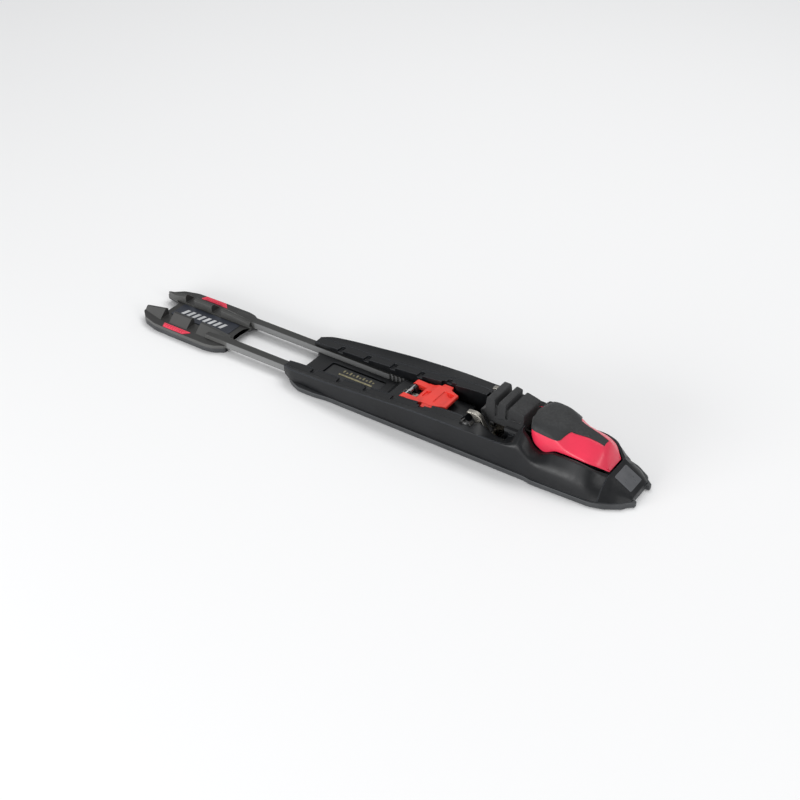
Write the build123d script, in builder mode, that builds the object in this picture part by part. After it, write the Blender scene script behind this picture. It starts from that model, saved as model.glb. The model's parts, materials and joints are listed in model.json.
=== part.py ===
"""Slide-on cross-country touring binding for a boot with one toe bar.

Frame: +X towards the toe, +Y to the skier's left, +Z up, millimetres.
Origin: on the base face, on the centre line, a little behind the boot bar's axis.
"""
from build123d import *
import os
from math import atan2, cos, radians, sin, sqrt

# ---------------------------------------------------------------- driving dimensions
# Standard boot bar and the seat that holds it
bar_r = 2.0
bar_clearance = 0.1
bar_x = 3.6
bar_z = 19.8
seat_wall = 1.3
seat_drop = 0.8
seat_plate_t = 3.4

# Overall lengths along X, from the origin
nose_x = 96.0
body_rear_x = -115.0
heel_tip_x = -224.0

# Base plate and the ski rail channel under it
base_h = 2.8
base_half_w = 21.6
channel_mouth_half_w = 13.0
channel_undercut_half_w = 15.0
channel_mouth_h = 0.8
channel_h = 1.8

# Size scale in its pit
pit_l = 36.0
pit_half_w = 6.4
scale_gap = 0.4
scale_t = 0.6

# Housing
floor_t = 1.6
deck_z = 8.4
rail_inner_y = 11.2
rail_outer_y = 17.1
wall_half_w = 22.6
bay_half_w = 13.4
bay_rear_x = 35.2
window_half_w = 8.2
window_l = 6.0
notch_first = 18.0
notch_pitch = 17.8
notch_count = 5
notch_w = 3.0
notch_depth = 1.6

# Nose, ahead of the lever
nose_l = 14.0
nose_crest_y = 15.0
nose_crest_z = 8.2
nose_top_z = 12.4
nose_tip_z = 4.4

# Arms of the heel plate, which slide inside the rails
arm_inner_y = 10.2
arm_w = 5.0
arm_h = 4.0
arm_front_x = -46.0
arm_gap = 0.4
slide_forward = 36.0

# Heel plate
heel_half_w = 20.6
heel_floor_t = 1.4
heel_ledge_h = 2.0
heel_ridge_h = 5.2
heel_notch_l = 11.5
heel_floor_l = 50.5
insert_t = 1.2
insert_w = 3.6
insert_l = 20.0
insert_from_tip = 30.0
insert_clearance = 0.05
insert_sink = 0.8
insert_y = 20.0
rib_count = 7
label_t = 0.4
label_w = 12.6

# Pins
pin_r = 1.5
small_pin_r = 1.25
running_fit = 0.06
side_gap = 0.35

# Lever and its linkage
lever_x = 51.0
lever_z = 21.0
lever_half_w = 13.0
dome_l = 15.0
lever_travel = 45.0
crank_dx = -8.0
crank_dz = -4.5
jaw_x = 14.0
jaw_z = 6.6
tail_r = 7.0
jaw_slot_rear_x = -1.0
jaw_slot_front_x = 25.4
claw_inner_y = 11.3
claw_t = 3.0
link_inner_y = 3.0
link_t = 1.5
link_half_h = 2.0
slot_run = 1.2
slot_rise = 2.2
eye_wall = 1.0

# Flexor
flexor_half_w = 8.6
flexor_rear_x = 6.5
flexor_front_x = 32.4
flexor_base_z = 19.0
flexor_top_z = 32.2
carrier_t = 1.5

# Lock clip
lock_x = -42.0
lock_z = 10.6
lock_half_w = 9.4
lock_front_x = -15.5
lock_top_z = 13.8

# Screws
screw_r = 1.9
screw_gap = 0.1
screw_head_r = 3.4
screw_head_h = 0.9
housing_screw_xs = (62.0, 72.0)

# Badge panel on the nose
badge_w = 12.2
badge_l = 11.0
badge_t = 0.9
badge_sink = 0.6

# ---------------------------------------------------------------- derived values
window_x = body_rear_x + window_l
heel_floor_rear_x = heel_tip_x + heel_notch_l
heel_floor_front_x = heel_floor_rear_x + heel_floor_l
insert_x = heel_tip_x + insert_from_tip
pit_rear_x = body_rear_x + 17
pit_front_x = pit_rear_x + pit_l
floor_z = base_h + floor_t
arm_z = base_h + side_gap
arm_top_z = arm_z + arm_h
arm_outer_y = arm_inner_y + arm_w
channel_outer_y = arm_outer_y + arm_gap
channel_top_z = arm_top_z + arm_gap
deck_half_w = arm_inner_y - arm_gap
seat_r = bar_r + bar_clearance
seat_rear_x = bar_x - seat_r - seat_wall
seat_front_x = bar_x + seat_r + seat_wall
seat_top_z = bar_z - seat_drop
crank_x = lever_x + crank_dx
crank_z = lever_z + crank_dz
pull = crank_dx * (cos(radians(lever_travel)) - 1) - crank_dz * sin(radians(lever_travel))
tail_lean = pull / 2 / tail_r
tail_x = jaw_x - tail_r * tail_lean
tail_z = jaw_z + tail_r * sqrt(1 - tail_lean**2)
heel_floor_z = base_h + heel_floor_t
ledge_z = base_h + heel_ledge_h
ridge_z = heel_floor_z + heel_ridge_h
claw_outer_y = claw_inner_y + claw_t
jaw_slot_y = claw_outer_y + side_gap
nose_slope = atan2(nose_top_z - nose_tip_z, nose_l)
badge_x = nose_x - 1 - nose_l / 2
badge_z = (nose_top_z + nose_tip_z) / 2
hub_r = pin_r + 1.3
lug_half_l = hub_r + 0.4
bore_r = pin_r + running_fit
small_bore_r = small_pin_r + running_fit

os.makedirs("parts", exist_ok=True)


# ---------------------------------------------------------------- helpers
def export(piece, label):
    """Label a finished piece and write it as one STEP."""
    piece.part.label = label
    export_step(piece.part, f"parts/{label}.step")


def both_sides(half):
    """Close a half outline of (y, z) points across the middle plane."""
    return list(half) + [(-y, z) for y, z in reversed(half)]


def plan_block(points, z0, height, mode=Mode.ADD):
    """Extrude a symmetric plan outline, given as its (x, +y) half."""
    with BuildSketch(Plane.XY.offset(z0)) as outline:
        Polygon(*points, *[(x, -y) for x, y in reversed(points)], align=None)
    extrude(outline.sketch, amount=height, mode=mode)


def side_block(points, y0, y1, mode=Mode.ADD):
    """Extrude an outline of (x, z) points from the plane y0 to the plane y1."""
    with BuildSketch(Plane.XZ.offset(-y0)) as outline:
        Polygon(*points, align=None)
    extrude(outline.sketch, amount=y0 - y1, mode=mode)


def side_disc(x, z, radius, y0, y1, mode=Mode.ADD):
    """Extrude a disc about the axis through (x, z) from the plane y0 to the plane y1."""
    with BuildSketch(Plane.XZ.offset(-y0)) as outline:
        with Locations((x, z)):
            Circle(radius)
    extrude(outline.sketch, amount=y0 - y1, mode=mode)


def box_cut(x0, x1, y0, y1, z0, z1, mode=Mode.SUBTRACT):
    """A box between two corners, cut away unless the mode says otherwise."""
    with Locations(((x0 + x1) / 2, (y0 + y1) / 2, (z0 + z1) / 2)):
        Box(x1 - x0, y1 - y0, z1 - z0, mode=mode)


def section_loft(sections, mode=Mode.ADD):
    """Loft straight-sided symmetric cross-sections, each an x and its (y, z) half outline."""
    outlines = []
    for x, half in sections:
        with BuildSketch(Plane.YZ.offset(x)) as outline:
            Polygon(*both_sides(half), align=None)
        outlines.append(outline.sketch)
    loft(outlines, ruled=True, mode=mode)


def cross_pin(label, x, z, radius, half_length):
    """A plain pin across the binding, with chamfered ends."""
    with BuildPart() as piece:
        side_disc(x, z, radius, -half_length, half_length)
        chamfer(piece.edges().filter_by(GeomType.CIRCLE), radius / 6)
    export(piece, label)


def badge_block(shrink, mode=Mode.ADD):
    """The badge's panel on the nose slope, a shrink smaller all round than its pocket."""
    lift = Vector(sin(nose_slope), 0, cos(nose_slope))
    slope = Plane(origin=Vector(badge_x, 0, badge_z) - lift * badge_sink, x_dir=(0, 1, 0), z_dir=lift)
    with BuildSketch(slope) as panel:
        RectangleRounded(badge_w - 2 * shrink, badge_l - 2 * shrink, 0.8)
    extrude(panel.sketch, amount=badge_t, mode=mode)


def screw_hole(x, top):
    """Hole for one screw through everything below the face at top, with a seat for its head."""
    with Locations((x, 0, top)):
        CounterBoreHole(screw_r + screw_gap, screw_head_r + screw_gap, screw_head_h, top + 1)


# ---------------------------------------------------------------- base plate
window_points = [
    (body_rear_x - 5, window_half_w + 5),
    (window_x - 2.5, window_half_w + 1.6),
    (window_x, window_half_w),
]

with BuildPart() as base_plate:
    plan_block(
        [
            (body_rear_x + 3, 17.0),
            (body_rear_x + 8, base_half_w - 1.2),
            (body_rear_x + 14, base_half_w + 1.2),
            (body_rear_x + 24, base_half_w + 1.2),
            (body_rear_x + 32, base_half_w),
            (nose_x - 55, base_half_w),
            (nose_x - 51, base_half_w + 0.9),
            (nose_x - 18, base_half_w - 0.2),
            (nose_x - 12, base_half_w - 1.8),
            (nose_x - 3, 14.0),
            (nose_x - 0.6, 8.6),
        ],
        0,
        base_h,
    )
    plan_block(window_points, -1, base_h + 2, Mode.SUBTRACT)
    channel_l = nose_x - 16 - body_rear_x
    box_cut(body_rear_x - 1, nose_x - 16, -channel_mouth_half_w, channel_mouth_half_w,
            -1, channel_mouth_h)
    box_cut(body_rear_x - 1, nose_x - 16, -channel_undercut_half_w, channel_undercut_half_w,
            channel_mouth_h, channel_h)
    # Two front corners, which stand out past the nose
    for side in (-1, 1):
        with BuildSketch(Plane.XY) as corner:
            Polygon((nose_x - 6, side * 6.4), (nose_x + 1, side * 7.2), (nose_x + 1, side * 9.2),
                    (nose_x - 3, side * 12.6), align=None)
        extrude(corner.sketch, amount=base_h)
    for x in housing_screw_xs:
        screw_hole(x, floor_z)
export(base_plate, "base_plate")

# ---------------------------------------------------------------- front housing
# Each row: x, base half width, crest y and z, shoulder y and z, inner wall y
wall_rows = [
    (body_rear_x, 16.4, 17.2, 9.4, 16.6, 9.0, rail_inner_y),
    (body_rear_x + 8, 20.0, 20.2, 10.6, rail_outer_y, 9.5, rail_inner_y),
    (body_rear_x + 36, base_half_w - 0.6, wall_half_w - 0.4, 13.2, rail_outer_y, 10.6, rail_inner_y),
    (-49, base_half_w - 0.7, wall_half_w + 0.3, 15.8, rail_outer_y, 12.8, rail_inner_y),
    (-19, base_half_w - 0.8, wall_half_w + 0.2, 17.4, rail_outer_y, 15.9, rail_inner_y),
    (-7, base_half_w - 0.8, wall_half_w, 17.4, rail_outer_y, 17.2, rail_inner_y),
    (6, base_half_w - 0.8, wall_half_w - 0.1, 17.5, 15.2, 17.4, rail_inner_y),
    (10, base_half_w - 0.8, wall_half_w - 0.2, 17.6, 15.0, 19.8, rail_inner_y),
    (14, base_half_w - 0.8, wall_half_w - 0.2, 17.8, 15.0, 18.0, rail_inner_y),
    (19, base_half_w - 0.8, wall_half_w - 0.3, 18.0, 15.0, 15.8, rail_inner_y),
    (25, base_half_w - 0.8, wall_half_w - 0.3, 18.2, 15.0, 15.2, rail_inner_y),
    (30, base_half_w - 0.7, wall_half_w - 0.6, 18.4, 14.6, 18.2, rail_inner_y),
    (33, base_half_w - 0.6, wall_half_w - 0.9, 18.7, 13.6, 24.2, rail_inner_y),
    (bay_rear_x - 0.3, base_half_w - 0.6, wall_half_w - 1.1, 18.8, 13.2, 26.2, rail_inner_y),
    (bay_rear_x + 0.3, base_half_w - 0.6, wall_half_w - 1.2, 18.7, 15.4, 24.6, bay_half_w),
    (38.6, base_half_w - 0.5, wall_half_w - 1.5, 17.6, 15.2, 21.8, bay_half_w),
    (41.5, base_half_w - 0.4, wall_half_w - 2.0, 14.6, 14.9, 17.4, bay_half_w),
    (46, base_half_w, 19.8, 11.0, 14.8, 15.4, bay_half_w),
    (54, base_half_w, 19.9, 11.8, 14.7, 18.4, bay_half_w),
    (66, base_half_w - 0.3, 19.4, 11.3, 14.7, 18.2, bay_half_w),
    (73, base_half_w - 0.8, 18.6, 10.4, 14.2, 17.0, bay_half_w - 0.4),
    (nose_x - 15, base_half_w - 2.2, nose_crest_y, nose_crest_z, 9.4, nose_top_z, 7.4),
]
nose_rows = [
    (nose_x - 15, base_half_w - 2.2, nose_crest_y, nose_crest_z, 9.4, nose_top_z),
    (nose_x - 8, 16.2, 12.5, 6.2, 7.9, (nose_top_z + nose_tip_z) / 2),
    (nose_x - 1, 9.6, 8.6, 3.7, 6.4, nose_tip_z),
]


def strip_height(x):
    """Height of the rails' flat strips at x."""
    for (x0, *_, z0, _), (x1, *_, z1, _) in zip(wall_rows, wall_rows[1:]):
        if x0 <= x <= x1:
            return z0 + (z1 - z0) * (x - x0) / (x1 - x0)


with BuildPart() as front_housing:
    section_loft([
        (x, [(base_y, base_h), (crest_y, crest_z), (edge_y, edge_z), (inner_y, edge_z),
             (inner_y, floor_z)])
        for x, base_y, crest_y, crest_z, edge_y, edge_z, inner_y in wall_rows
    ])
    section_loft([
        (x, [(base_y, base_h), (crest_y, crest_z), (edge_y, edge_z)])
        for x, base_y, crest_y, crest_z, edge_y, edge_z in nose_rows
    ])
    # Channels for the arms, open towards the middle
    for side in (-1, 1):
        inner, outer = sorted((side * deck_half_w, side * channel_outer_y))
        box_cut(body_rear_x - 1, arm_front_x + slide_forward + 1.5, inner, outer, base_h - 1,
                channel_top_z)
    # Raised deck between the arms, with its ramp
    side_block([(-58, base_h), (-52, deck_z), (-7, deck_z), (-5, floor_z), (-5, base_h)],
               -deck_half_w, deck_half_w)
    # Pit for the size scale
    box_cut(pit_rear_x, pit_front_x, -pit_half_w, pit_half_w, base_h, deck_z)
    # Rear window
    plan_block(window_points, base_h - 1, 12, Mode.SUBTRACT)
    # Small notches across the strips
    for index in range(notch_count):
        x = body_rear_x + notch_first + index * notch_pitch
        for side in (-1, 1):
            inner, outer = sorted((side * (rail_inner_y - 1), side * (rail_outer_y - 1.4)))
            z = strip_height(x) - notch_depth
            box_cut(x - notch_w / 2, x + notch_w / 2, inner, outer, z, z + 6)
    # Recesses in the strips for the lock's lugs
    for side in (-1, 1):
        inner, outer = sorted((side * (rail_inner_y - 1), side * 13.2))
        box_cut(-29.5, -20.5, inner, outer, deck_z + 1.6, 20)
    # Slots for the jaw's arms, down to the base plate
    for side in (-1, 1):
        inner, outer = sorted((side * (claw_inner_y - side_gap - 0.2), side * jaw_slot_y))
        box_cut(jaw_slot_rear_x, jaw_slot_front_x, inner, outer, base_h, 30)
    # Room round the jaw's hub between the walls
    box_cut(jaw_x - 5, jaw_x + 5, -rail_inner_y, rail_inner_y, base_h, floor_z + 0.1)
    # Pockets for the bar seats, and the bores for the jaw's axle
    for side in (-1, 1):
        inner, outer = sorted((side * jaw_slot_y, side * (jaw_slot_y + seat_plate_t)))
        box_cut(seat_rear_x, seat_front_x, inner, outer, floor_z, 30)
    side_disc(jaw_x, jaw_z, pin_r, -(jaw_slot_y + 3.5), jaw_slot_y + 3.5, Mode.SUBTRACT)
    # Ledges that carry the flexor
    for side in (-1, 1):
        inner, outer = sorted((side * 7.4, side * (rail_inner_y + 0.1)))
        box_cut(22.5, flexor_front_x, inner, outer, base_h, flexor_base_z - carrier_t, Mode.ADD)
    # Lugs for the lever's axle
    for side in (-1, 1):
        y0, y1 = side * 6.6, side * 9.6
        side_block([(lever_x - lug_half_l, base_h), (lever_x - lug_half_l, lever_z + 1),
                    (lever_x + lug_half_l, lever_z + 1), (lever_x + 8, base_h)], y0, y1)
        side_disc(lever_x, lever_z, lug_half_l, y0, y1)
        side_disc(lever_x, lever_z, pin_r, y0, y1, Mode.SUBTRACT)
    # Lugs for the lock's axle
    for side in (-1, 1):
        y0, y1 = side * 2.0, side * 4.8
        side_block([(lock_x - 3.4, deck_z - 1), (lock_x - 1.8, lock_z + 1.2), (lock_x + 1.8, lock_z + 1.2),
                    (lock_x + 3.4, deck_z - 1)], y0, y1)
        side_disc(lock_x, lock_z, small_pin_r, y0, y1, Mode.SUBTRACT)
    # Pocket for the badge, and the screw holes in the floor
    badge_block(0, Mode.SUBTRACT)
    for x in housing_screw_xs:
        screw_hole(x, floor_z)
export(front_housing, "front_housing")

# ---------------------------------------------------------------- lever
# Each row: x, bottom y and z, side y and z, top y and z
lever_rows = [
    (lever_x - dome_l, 5.0, 23.6, 5.4, 28.0, 4.0, 29.2),
    (lever_x - dome_l + 1.6, 9.0, 22.6, 9.4, 28.0, 8.0, 29.6),
    (lever_x - 12.2, 11.8, 21.4, 12.2, 27.6, 9.6, 29.9),
    (lever_x - 9.4, lever_half_w, 18.0, lever_half_w, 27.2, 9.8, 30.1),
    (lever_x - 4.0, lever_half_w, 15.2, lever_half_w, 26.6, 9.4, 30.2),
    (lever_x + 3.0, lever_half_w, 18.6, lever_half_w, 24.0, 7.0, 29.4),
    (lever_x + 8.0, lever_half_w, 18.6, lever_half_w, 20.8, 4.6, 27.9),
    (lever_x + 18.0, lever_half_w - 0.4, 18.0, lever_half_w - 0.4, 19.0, 3.8, 26.2),
    (lever_x + 24.0, 10.8, 16.6, 10.8, 17.6, 3.4, 24.2),
    (nose_x - 15.6, 6.5, 12.8, 6.4, 13.4, 5.0, 14.0),
]
inner_rows = [
    (lever_x - 8.4, 10.8, 10.0, 10.8, 24.4, 8.0, 27.6),
    (lever_x + 3.0, 10.8, 10.0, 10.8, 23.6, 6.6, 27.2),
    (lever_x + 8.0, 10.8, 10.0, 10.8, 19.4, 3.8, 25.2),
    (lever_x + 18.0, 10.4, 10.0, 10.4, 17.6, 3.0, 23.6),
    (lever_x + 24.0, 8.6, 10.0, 8.6, 15.8, 2.6, 21.2),
    (nose_x - 18.6, 6.0, 10.0, 6.0, 13.0, 3.0, 14.4),
]
cover_t = 1.2

with BuildPart() as lever:
    section_loft([(x, [(a, b), (c, d), (e, f)]) for x, a, b, c, d, e, f in lever_rows])
    section_loft([(x, [(a, b), (c, d), (e, f)]) for x, a, b, c, d, e, f in inner_rows], Mode.SUBTRACT)
    # Bosses for the axle on the side walls
    for side in (-1, 1):
        side_disc(lever_x, lever_z, hub_r + 0.5, side * 9.95, side * 11.2)
        side_disc(lever_x, lever_z, bore_r, side * 6, side * 11.6, Mode.SUBTRACT)
        # Lugs that hold the crank pin
        side_block([(crank_x - 2.4, crank_z + 0.4), (crank_x - 1.6, crank_z - 1.8),
                    (crank_x + 1.6, crank_z - 1.8), (lever_x + 2.8, lever_z - 2),
                    (lever_x + 2.8, 28.6), (lever_x - 9.4, 28.6)],
                   side * 4.9, side * 6.25)
        side_disc(crank_x, crank_z, small_pin_r, side * 4.8, side * 6.4, Mode.SUBTRACT)
        side_disc(lever_x, lever_z, bore_r, side * 4.8, side * 6.4, Mode.SUBTRACT)
    # Slot in the rear wall for the links, and the wall's lower part cut back over the housing's lugs
    box_cut(lever_x - dome_l - 1, lever_x - 6, -4.9, 4.9, 10, lever_z + 6.2)
    box_cut(lever_x - dome_l - 1, lever_x - 6, -9.9, 9.9, 10, lever_z + 1.6)
export(lever, "lever")

# Soft cover, a skin that wraps the lever's domed rear and runs forward as a strip
with BuildPart() as lever_cover:
    section_loft([
        (x, [(c + 0.02, d - 0.6), (c + 0.02, d), (e + 0.02, f + 0.02), (e * 0.5, f + cover_t)])
        for x, a, b, c, d, e, f in lever_rows[:6]
    ])
    section_loft([
        (lever_x + 3.0, [(7.4, 29.4), (6.4, 29.4 + cover_t)]),
        (lever_x + 8.0, [(4.6, 27.8), (3.6, 27.8 + cover_t)]),
        (lever_x + 18.0, [(3.2, 26.2), (2.4, 26.2 + cover_t * 0.8)]),
        (lever_x + 24.0, [(2.6, 24.2), (1.8, 24.2 + cover_t * 0.5)]),
    ])
    section_loft([(x, [(a + 3, 0), (c, d), (e, f)]) for x, a, b, c, d, e, f in lever_rows], Mode.SUBTRACT)
export(lever_cover, "lever_cover")

cross_pin("lever_axle", lever_x, lever_z, pin_r, 11.4)
cross_pin("crank_pin", crank_x, crank_z, small_pin_r, 6.2)

# ---------------------------------------------------------------- toggle links
with BuildPart() as toggle_links:
    slot_x = tail_x + slot_run / 2
    for side in (-1, 1):
        y0, y1 = side * link_inner_y, side * (link_inner_y + link_t)
        side_block([(tail_x, tail_z - link_half_h), (crank_x, crank_z - link_half_h),
                    (crank_x, crank_z + link_half_h), (tail_x, tail_z + link_half_h)], y0, y1)
        side_disc(crank_x, crank_z, link_half_h, y0, y1)
        side_disc(slot_x, tail_z, small_pin_r + eye_wall, y0, y1)
        side_disc(slot_x, tail_z + slot_rise, small_pin_r + eye_wall, y0, y1)
        box_cut(slot_x - small_pin_r - eye_wall, slot_x + small_pin_r + eye_wall, *sorted((y0, y1)),
                tail_z, tail_z + slot_rise, Mode.ADD)
        side_disc(crank_x, crank_z, small_bore_r, y0, y1, Mode.SUBTRACT)
        # Open slot: the jaw pin wanders in it by the slot's run and rise
        with BuildSketch(Plane.XZ.offset(-y0)) as slot:
            with Locations((slot_x, tail_z + slot_rise / 2)):
                RectangleRounded(2 * small_pin_r + slot_run, 2 * small_pin_r + slot_rise, small_pin_r - 0.05)
        extrude(slot.sketch, amount=y0 - y1, mode=Mode.SUBTRACT)
export(toggle_links, "toggle_links")

# ---------------------------------------------------------------- jaw
claw_points = [
    (jaw_x - 2.6, jaw_z - 1.0),
    (jaw_x + 2.6, jaw_z - 1.0),
    (jaw_x + 1.6, jaw_z + 6.0),
    (bar_x + 8.4, bar_z - 1.0),
    (bar_x + 6.8, bar_z + 2.4),
    (bar_x + 3.0, bar_z + 4.0),
    (bar_x - 1.6, bar_z + 3.6),
    (bar_x - 2.2, bar_z + 2.9),
    (bar_x - 0.6, bar_z + 2.0),
    (bar_x + 3.0, bar_z + 0.6),
    (bar_x + 4.4, bar_z - 4.0),
    (jaw_x - 3.4, jaw_z + 4.4),
]
with BuildPart() as boot_jaw:
    for side in (-1, 1):
        side_block(claw_points, side * claw_inner_y, side * claw_outer_y)
    side_disc(bar_x, bar_z, seat_r + 0.3, -claw_outer_y - 1, claw_outer_y + 1, Mode.SUBTRACT)
    side_disc(jaw_x, jaw_z, hub_r, -claw_outer_y, claw_outer_y)
    lug_y = link_inner_y - side_gap
    side_block([(jaw_x - 2.4, jaw_z), (jaw_x + 2.4, jaw_z), (tail_x + 2.2, tail_z + 0.6),
                (tail_x - 2.2, tail_z - 0.6)], -lug_y, lug_y)
    side_disc(tail_x, tail_z, small_pin_r + 1.1, -lug_y, lug_y)
    side_disc(jaw_x, jaw_z, bore_r, -claw_outer_y - 1, claw_outer_y + 1, Mode.SUBTRACT)
    side_disc(tail_x, tail_z, small_pin_r, -lug_y - 1, lug_y + 1, Mode.SUBTRACT)
export(boot_jaw, "boot_jaw")
cross_pin("jaw_axle", jaw_x, jaw_z, pin_r, jaw_slot_y + 3.4)
cross_pin("jaw_pin", tail_x, tail_z, small_pin_r, link_inner_y + link_t - 0.1)

# ---------------------------------------------------------------- bar seats
with BuildPart() as bar_seats:
    for side in (-1, 1):
        y0, y1 = side * jaw_slot_y, side * (jaw_slot_y + seat_plate_t)
        side_block([(seat_rear_x, floor_z), (seat_front_x, floor_z), (seat_front_x, seat_top_z - 0.8),
                    (seat_front_x - 0.8, seat_top_z), (seat_rear_x + 0.8, seat_top_z),
                    (seat_rear_x, seat_top_z - 0.8)], y0, y1)
        side_disc(bar_x, bar_z, seat_r, y0, y1, Mode.SUBTRACT)
export(bar_seats, "bar_seats")

# ---------------------------------------------------------------- flexor and its carrier
carrier_z = flexor_base_z - carrier_t
with BuildPart() as flexor_carrier:
    box_cut(flexor_rear_x + 3, flexor_front_x, -flexor_half_w + 0.8, flexor_half_w - 0.8,
            carrier_z, flexor_base_z, Mode.ADD)
    box_cut(22.5, flexor_front_x, -rail_inner_y + 0.3, rail_inner_y - 0.3, carrier_z, flexor_base_z,
            Mode.ADD)
    for x in (14.0, 27.0):
        box_cut(x - 1.2, x + 1.2, -4, 4, flexor_base_z, flexor_base_z + 3, Mode.ADD)
export(flexor_carrier, "flexor_carrier")

fin_points = [
    (flexor_rear_x - 0.4, flexor_base_z + 2.4),
    (flexor_rear_x, flexor_base_z),
    (flexor_front_x, flexor_base_z),
    (flexor_front_x, flexor_top_z - 3.6),
    (flexor_front_x - 8.4, flexor_top_z - 1.4),
    (flexor_front_x - 8.9, flexor_base_z + 6.0),
    (flexor_front_x - 10.6, flexor_base_z + 6.0),
    (flexor_front_x - 10.8, flexor_top_z - 1.0),
    (flexor_front_x - 14.2, flexor_top_z - 0.2),
    (flexor_front_x - 14.8, flexor_base_z + 6.6),
    (flexor_front_x - 17.0, flexor_base_z + 6.6),
    (flexor_front_x - 17.2, flexor_top_z - 0.6),
    (flexor_front_x - 21.6, flexor_top_z),
    (flexor_rear_x + 3.6, flexor_base_z + 5.0),
]
with BuildPart() as flexor:
    side_block(fin_points, -flexor_half_w, flexor_half_w)
    for x in (14.0, 27.0):
        box_cut(x - 1.2, x + 1.2, -4, 4, flexor_base_z, flexor_base_z + 3)
export(flexor, "flexor")

# ---------------------------------------------------------------- lock clip
with BuildPart() as lock_clip:
    # Body and finger tray
    side_block([(-35, deck_z + 0.8), (-35, lock_z + 1.4), (-29, lock_top_z), (lock_front_x, lock_top_z),
                (lock_front_x, lock_top_z - 2.2), (-22, deck_z + 0.8)], -lock_half_w, lock_half_w)
    plan_block([(-36, lock_half_w + 3), (-22, lock_half_w + 3), (lock_front_x - 1, 6.8),
                (lock_front_x + 1, 6.2)], deck_z, 8, Mode.INTERSECT)
    box_cut(-22.5, lock_front_x - 1.6, -5.6, 5.6, lock_top_z - 1.8, lock_top_z + 1)
    # Prongs with the hinge eyes
    for side in (-1, 1):
        y0, y1 = side * 5.15, side * 9.2
        side_block([(lock_x, lock_z - 1.7), (-34.5, deck_z + 0.8), (-34.5, lock_z + 1.5),
                    (lock_x, lock_z + 1.9)], y0, y1)
        side_disc(lock_x, lock_z, 1.9, y0, y1)
        side_disc(lock_x, lock_z, small_bore_r, y0, y1, Mode.SUBTRACT)
        # Side lugs over the strips
        box_cut(-28.6, -21.4, *sorted((side * (lock_half_w - 0.5), side * 12.6)),
                deck_z + 2.2, lock_top_z - 0.4, Mode.ADD)
export(lock_clip, "lock_clip")
cross_pin("lock_axle", lock_x, lock_z, small_pin_r, 9.1)

with BuildPart() as lock_spring:
    side_block([(-47, deck_z), (-46, deck_z + 0.8), (-36.4, deck_z + 0.45), (-26, deck_z + 0.45),
                (-26, deck_z)], -1.6, 1.6)
export(lock_spring, "lock_spring")

# ---------------------------------------------------------------- heel plate
heel_screw_x = (heel_floor_rear_x + heel_floor_front_x) / 2


def insert_block(side, shrink, z0, height, mode=Mode.ADD):
    """The slanted plan of one insert, a shrink smaller all round than its pocket."""
    rear, front = insert_x - insert_l / 2 + shrink, insert_x + insert_l / 2 - shrink
    outer, inner = side * (insert_y - shrink), side * (insert_y - insert_w + shrink)
    with BuildSketch(Plane.XY.offset(z0)) as outline:
        Polygon((rear + 1.5, outer), (front - 3.5, outer), (front, inner), (rear, inner), align=None)
    extrude(outline.sketch, amount=height, mode=mode)


def arm_window(top):
    """Cut the window between the arms, with its round rear corners, up to the height top."""
    with BuildSketch(Plane.XY) as opening:
        with Locations(((heel_floor_front_x + arm_front_x) / 2 + 4, 0)):
            RectangleRounded(arm_front_x - heel_floor_front_x + 8, 2 * arm_inner_y, 6)
    extrude(opening.sketch, amount=top + 0.01, mode=Mode.SUBTRACT)


heel_outline = [
    (heel_tip_x, 10.2),
    (heel_tip_x + 0.6, 13.0),
    (heel_tip_x + 6, 17.6),
    (heel_tip_x + 15, heel_half_w - 0.4),
    (heel_tip_x + 30, heel_half_w),
    (heel_tip_x + 55, heel_half_w),
    (heel_tip_x + 59, heel_half_w - 1.2),
    (heel_tip_x + 65, arm_outer_y + 0.6),
]
ridge_rows = [
    # x from, x to, height at from, height at to, outer half width at from
    (heel_tip_x + 0.6, heel_tip_x + 15.5, 2.6, heel_ridge_h + 0.2, 12.0),
    (heel_tip_x + 22, heel_tip_x + 35, heel_ridge_h, heel_ridge_h, 15.4),
    (heel_tip_x + 42.5, heel_tip_x + 64, heel_ridge_h, 3.2, 15.4),
]

with BuildPart() as heel_plate:
    plan_block(heel_outline, base_h, heel_ledge_h)
    box_cut(heel_tip_x - 1, heel_tip_x + 66, -7.6, 7.6, heel_floor_z, 30)
    for x0, x1, h0, h1, outer in ridge_rows:
        section_loft([
            (x, [(w, base_h + 0.4), (w, ledge_z - 0.2), (9.8, heel_floor_z + h), (8.4, heel_floor_z + h)])
            for x, h, w in ((x0, h0, outer), (x1, h1, 15.4))
        ])
    # Trim the ridges' middle back to the floor
    box_cut(heel_tip_x - 1, heel_tip_x + 66, -7.6, 7.6, heel_floor_z, 30)
    # Open notch between the wing tips
    plan_block([(heel_tip_x - 2, 9.6), (heel_floor_rear_x - 3, 7.4), (heel_floor_rear_x, 5.2)],
               0, 30, Mode.SUBTRACT)
    # Arms
    for side in (-1, 1):
        inner, outer = sorted((side * arm_inner_y, side * arm_outer_y))
        box_cut(heel_tip_x + 50, arm_front_x, inner, outer, arm_z, arm_top_z, Mode.ADD)
        # Lock teeth near the front end of each arm
        for index in range(6):
            x = arm_front_x - 3 - index * 2.6
            inner, outer = sorted((side * (arm_inner_y - 1), side * (arm_inner_y + 0.9)))
            box_cut(x - 0.7, x + 0.7, inner, outer, arm_z, arm_top_z + 1)
    arm_window(heel_floor_z)
    # Pockets for the inserts, and the screw hole
    for side in (-1, 1):
        insert_block(side, 0, ledge_z - insert_sink, 3, Mode.SUBTRACT)
    screw_hole(heel_screw_x, heel_floor_z)
export(heel_plate, "heel_plate")

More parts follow.
